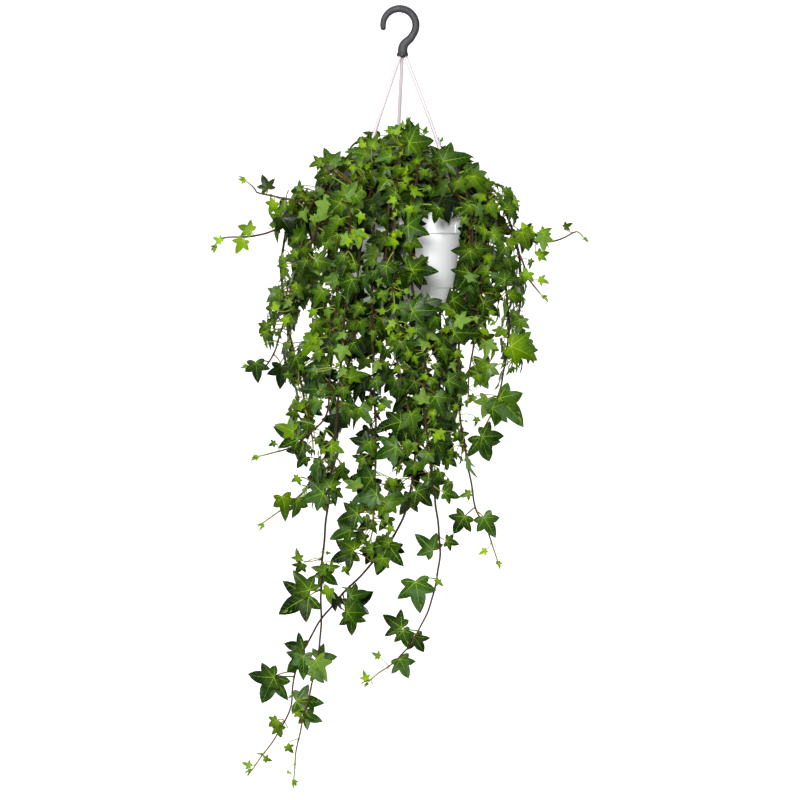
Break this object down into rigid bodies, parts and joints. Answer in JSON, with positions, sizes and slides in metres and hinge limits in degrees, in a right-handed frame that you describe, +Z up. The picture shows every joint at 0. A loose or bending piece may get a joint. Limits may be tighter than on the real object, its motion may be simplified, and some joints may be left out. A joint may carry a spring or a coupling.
{
  "type": "potted pittsburgh english ivy",
  "caption": "Trailing English ivy in a round white plastic pot hung from a dark hook on three slim arms; its stems arch over the rim and trail far below the pot.",
  "frame": {"origin": "tip of the nib inside the hook's crest, where the hook bears on what it hangs from", "axes": "+Z up along the hanging line, +X to the plant's right seen from the front, -Y towards the front"},
  "size_m": [0.4348, 0.2984, 0.904],
  "materials": {
    "pot_plastic": "satin",
    "potting_soil": "rough",
    "hook_plastic": "satin",
    "arm_plastic": "satin",
    "ivy": "glossy leaves"
  },
  "bodies": {
    "root": {"pot": "pot_plastic", "soil": "potting_soil", "hook": "hook_plastic", "arm_right": "arm_plastic", "arm_left": "arm_plastic", "arm_back": "arm_plastic", "crown_shoot_back_left": "ivy", "crown_shoot_back_right": "ivy", "crown_shoot_front": "ivy", "crown_shoot_left": "ivy", "crown_shoot_middle": "ivy", "crown_shoot_right": "ivy", "shoot_far_left": "ivy", "shoot_far_right": "ivy", "vine_back_01": "ivy", "vine_back_02": "ivy", "vine_back_03": "ivy", "vine_back_04": "ivy", "vine_back_05": "ivy", "vine_back_06": "ivy", "vine_back_07": "ivy", "vine_back_08": "ivy", "vine_back_09": "ivy", "vine_back_10": "ivy", "vine_back_11": "ivy", "vine_back_12": "ivy", "vine_behind_right": "ivy", "vine_front_centre": "ivy", "vine_front_inner": "ivy", "vine_front_left": "ivy", "vine_hooked_right": "ivy", "vine_left": "ivy", "vine_left_forked": "ivy", "vine_left_low": "ivy", "vine_left_outer": "ivy", "vine_longest": "ivy", "vine_right": "ivy", "vine_right_inner": "ivy", "vine_right_of_centre": "ivy", "vine_side_left": "ivy", "vine_side_right": "ivy", "vine_sweeping_left": "ivy"}
  },
  "joints": []
}
